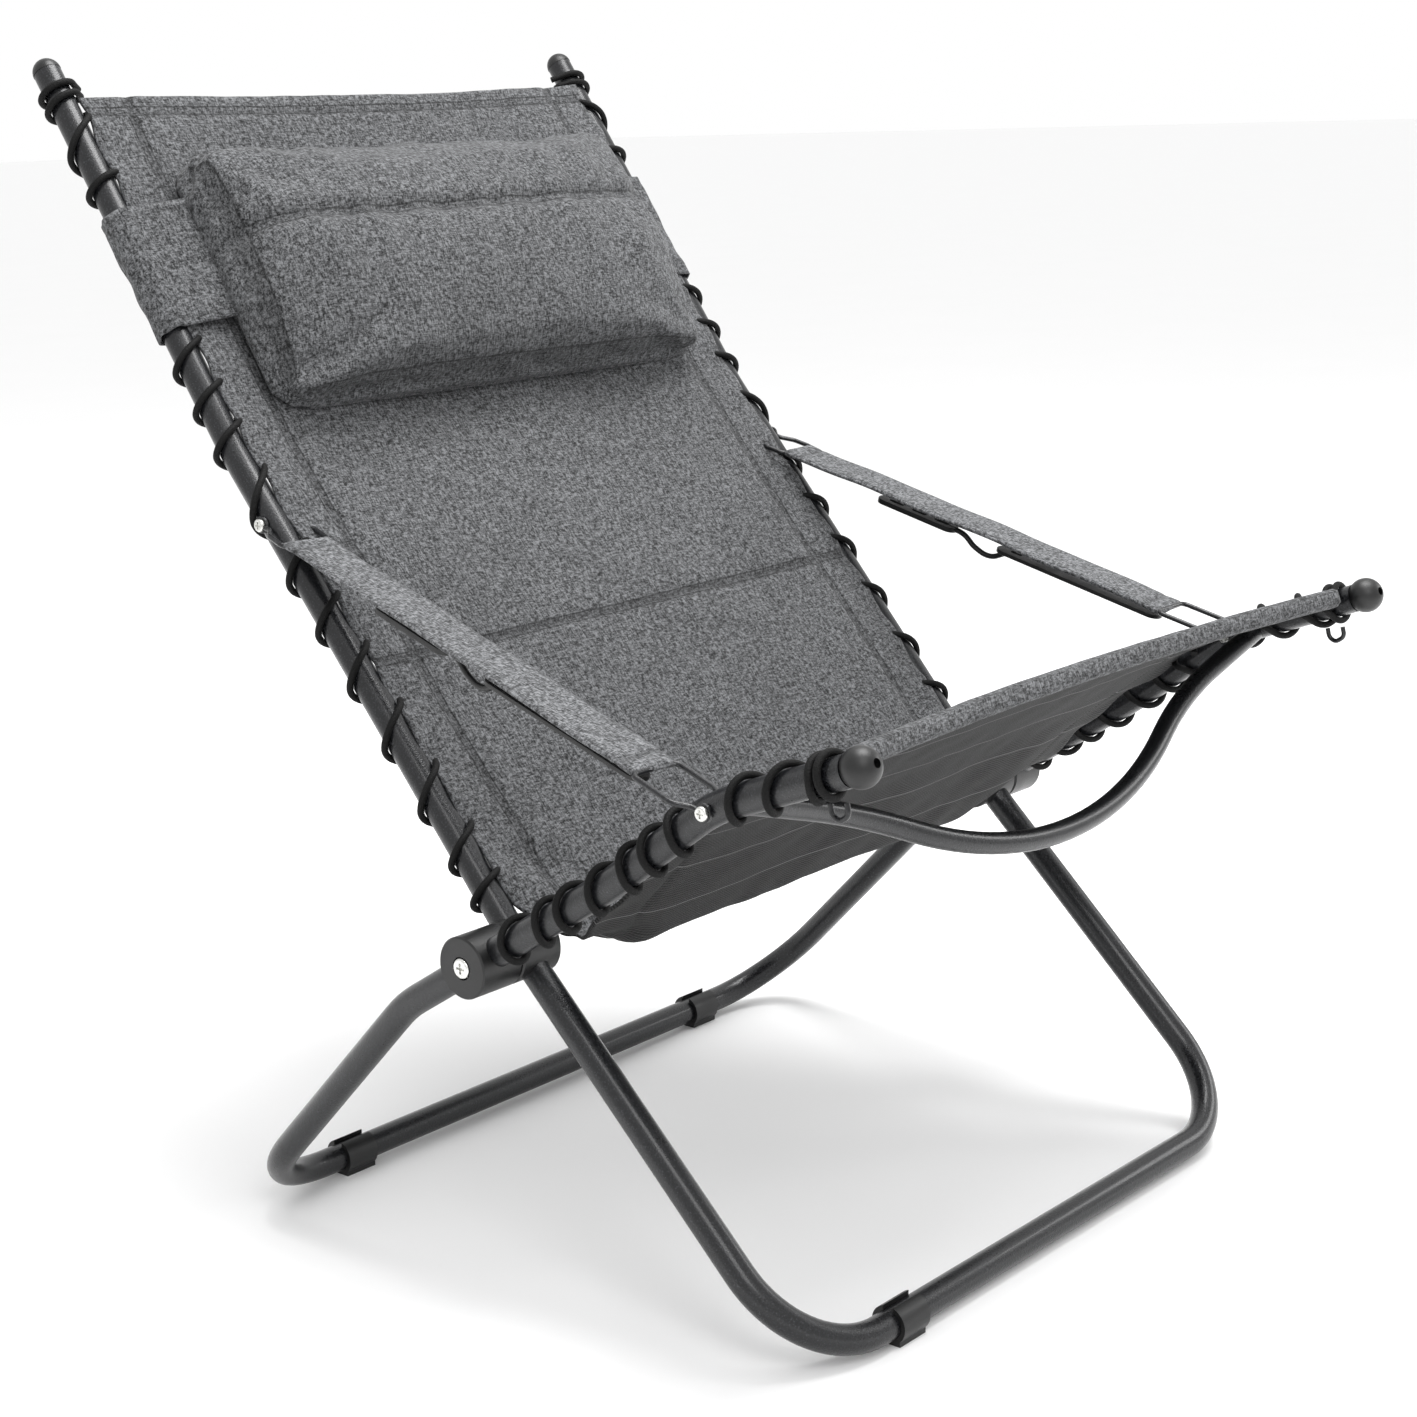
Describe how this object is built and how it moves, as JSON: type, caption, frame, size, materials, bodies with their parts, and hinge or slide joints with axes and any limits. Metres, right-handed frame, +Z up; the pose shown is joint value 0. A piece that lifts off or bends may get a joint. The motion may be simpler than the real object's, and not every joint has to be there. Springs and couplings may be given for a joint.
{
  "type": "folding camp lounge chair",
  "caption": "Folding camp lounge chair: two crossed tube frames hinged at the sides, a laced padded sling with a head pillow, strap arms.",
  "frame": {"origin": "on the floor, under the middle of the chair's box", "axes": "+X to the sitter's left, -Y the way the sitter faces, +Z up"},
  "size_m": [0.694, 0.8458, 0.9016],
  "materials": {
    "frame_paint": "satin",
    "hub_plastic": "matte",
    "bolt_zinc": "satin",
    "sling_fabric": "woven melange",
    "arm_fabric": "woven melange",
    "cord": "braided",
    "bail_steel": "satin",
    "adjuster_plastic": "matte"
  },
  "bodies": {
    "back_frame": {"back_tube_left": "frame_paint", "back_tube_right": "frame_paint", "front_leg_frame": "frame_paint", "hub_inner_left": "hub_plastic", "hub_inner_right": "hub_plastic", "hub_washer_left": "hub_plastic", "hub_washer_right": "hub_plastic", "hub_bolt_left": "bolt_zinc", "hub_bolt_right": "bolt_zinc", "hub_nut_left": "bolt_zinc", "hub_nut_right": "bolt_zinc", "back_cap_left": "hub_plastic", "back_cap_right": "hub_plastic", "sling_back": "sling_fabric", "sling_crease": "sling_fabric", "headrest_pillow": "sling_fabric", "headrest_band_left": "sling_fabric", "headrest_band_right": "sling_fabric", "back_lacing_left": "cord", "back_lacing_right": "cord", "head_lacing_left": "cord", "head_lacing_right": "cord", "foot_clip_front_right": "hub_plastic", "arm_bolt_rear_left": "bolt_zinc", "arm_bolt_rear_right": "bolt_zinc"},
    "seat_frame": {"seat_rail_left": "frame_paint", "seat_rail_right": "frame_paint", "rear_leg_frame": "frame_paint", "hub_outer_left": "hub_plastic", "hub_outer_right": "hub_plastic", "seat_bow": "frame_paint", "seat_cap_left": "hub_plastic", "seat_cap_right": "hub_plastic", "sling_seat": "sling_fabric", "seat_lacing_left": "cord", "seat_lacing_right": "cord", "tip_lacing_left": "cord", "tip_lacing_right": "cord", "cord_hook_left": "bail_steel", "cord_hook_right": "bail_steel", "foot_clip_rear_left": "hub_plastic", "foot_clip_rear_right": "hub_plastic", "arm_bolt_front_left": "bolt_zinc", "arm_bolt_front_right": "bolt_zinc"},
    "arm_strap_left": {"arm_bail_rear_left": "bail_steel", "arm_sleeve_left": "arm_fabric", "arm_adjuster_left": "adjuster_plastic"},
    "arm_front_left": {"arm_bail_front_left": "bail_steel"},
    "arm_strap_right": {"arm_bail_rear_right": "bail_steel", "arm_sleeve_right": "arm_fabric", "arm_adjuster_right": "adjuster_plastic"},
    "arm_front_right": {"arm_bail_front_right": "bail_steel"}
  },
  "joints": [
    {"name": "fold", "type": "hinge", "parent": "back_frame", "child": "seat_frame", "pos_m": [0, -0.06749, 0.267], "axis": [1, 0, 0], "range_deg": [-88, 0], "deforming": ["sling_crease", "arm_sleeve_left", "arm_sleeve_right", "arm_adjuster_left", "arm_adjuster_right"]},
    {"name": "arm_rear_left", "type": "hinge", "parent": "back_frame", "child": "arm_strap_left", "pos_m": [0.286, 0.17305, 0.55469], "axis": [1, 0, 0], "range_deg": [-22.98, 0], "deforming": ["arm_sleeve_left", "arm_adjuster_left"]},
    {"name": "arm_front_left", "type": "hinge", "parent": "seat_frame", "child": "arm_front_left", "pos_m": [0.324, -0.2925, 0.41368], "axis": [1, 0, 0], "range_deg": [0, 110.1]},
    {"name": "arm_rear_right", "type": "hinge", "parent": "back_frame", "child": "arm_strap_right", "pos_m": [-0.286, 0.17305, 0.55469], "axis": [1, 0, 0], "range_deg": [-22.98, 0], "deforming": ["arm_sleeve_right", "arm_adjuster_right"]},
    {"name": "arm_front_right", "type": "hinge", "parent": "seat_frame", "child": "arm_front_right", "pos_m": [-0.324, -0.2925, 0.41368], "axis": [1, 0, 0], "range_deg": [0, 110.1]}
  ],
  "couplings": [
    {"joint": "arm_rear_left", "follows": "fold", "ratio": 0.26},
    {"joint": "arm_front_left", "follows": "fold", "ratio": -1.25},
    {"joint": "arm_rear_right", "follows": "fold", "ratio": 0.26},
    {"joint": "arm_front_right", "follows": "fold", "ratio": -1.25}
  ]
}
